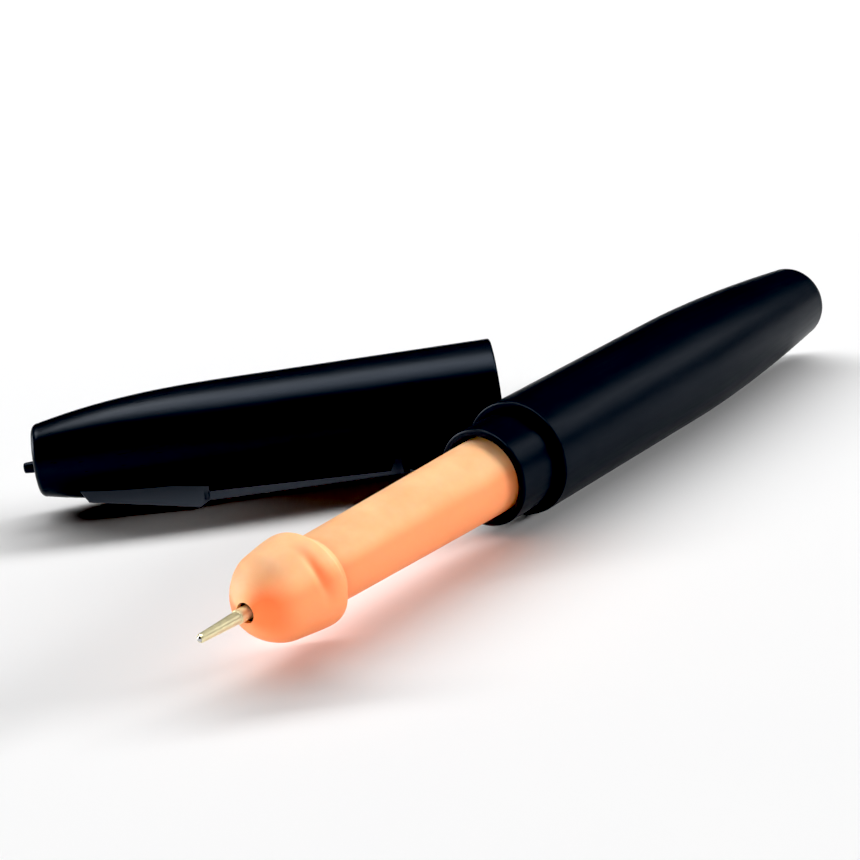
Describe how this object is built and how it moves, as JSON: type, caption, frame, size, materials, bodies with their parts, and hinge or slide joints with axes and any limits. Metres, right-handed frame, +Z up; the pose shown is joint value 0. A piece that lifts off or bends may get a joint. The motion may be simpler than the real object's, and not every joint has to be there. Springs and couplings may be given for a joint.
{
  "type": "novelty ballpoint pen",
  "caption": "Capped stick ballpoint pen lying open beside its clip cap, with a soft moulded novelty grip that ends in a rounded, rimmed head round the point.",
  "frame": {"origin": "on the table, under the middle of the pen and cap together", "axes": "+Z up; +X along the cap's axis, from its closed end to its mouth; the pen lies on the -Y side, its point towards -X and -Y"},
  "size_m": [0.117, 0.1006, 0.015],
  "materials": {
    "shell_plastic": "satin",
    "soft_grip": "matte",
    "tube_plastic": "translucent satin",
    "ink": "gloss",
    "grease": "gloss",
    "nickel_silver": "turned",
    "ball_steel": "polished"
  },
  "bodies": {
    "pen": {"section": "shell_plastic", "grip_sleeve": "soft_grip"},
    "barrel": {"barrel": "shell_plastic"},
    "refill": {"refill_tube": "tube_plastic", "ink_column": "ink", "grease_follower": "grease", "tip_socket": "tube_plastic", "tip_body": "nickel_silver", "tip_ball": "ball_steel"},
    "cap": {"cap_shell": "shell_plastic"},
    "clip": {"clip_arm": "shell_plastic"}
  },
  "joints": [
    {"name": "barrel_pull", "type": "slide", "parent": "pen", "child": "barrel", "axis": [0.6756, 0.7373, 0], "range_m": [0, 0.05]},
    {"name": "refill_slide", "type": "slide", "parent": "pen", "child": "refill", "axis": [0.6756, 0.7373, 0], "range_m": [0, 0.02]},
    {"name": "cap_slide", "type": "slide", "parent": "pen", "child": "cap", "axis": [-1, 0, 0], "range_m": [0, 0.06]},
    {"name": "clip_flex", "type": "hinge", "parent": "cap", "child": "clip", "pos_m": [-0.03372, 0.01597, 0.00133], "axis": [0, 0.6428, -0.766], "range_deg": [0, 3], "stiffness_Nm_per_rad": 0.5}
  ]
}
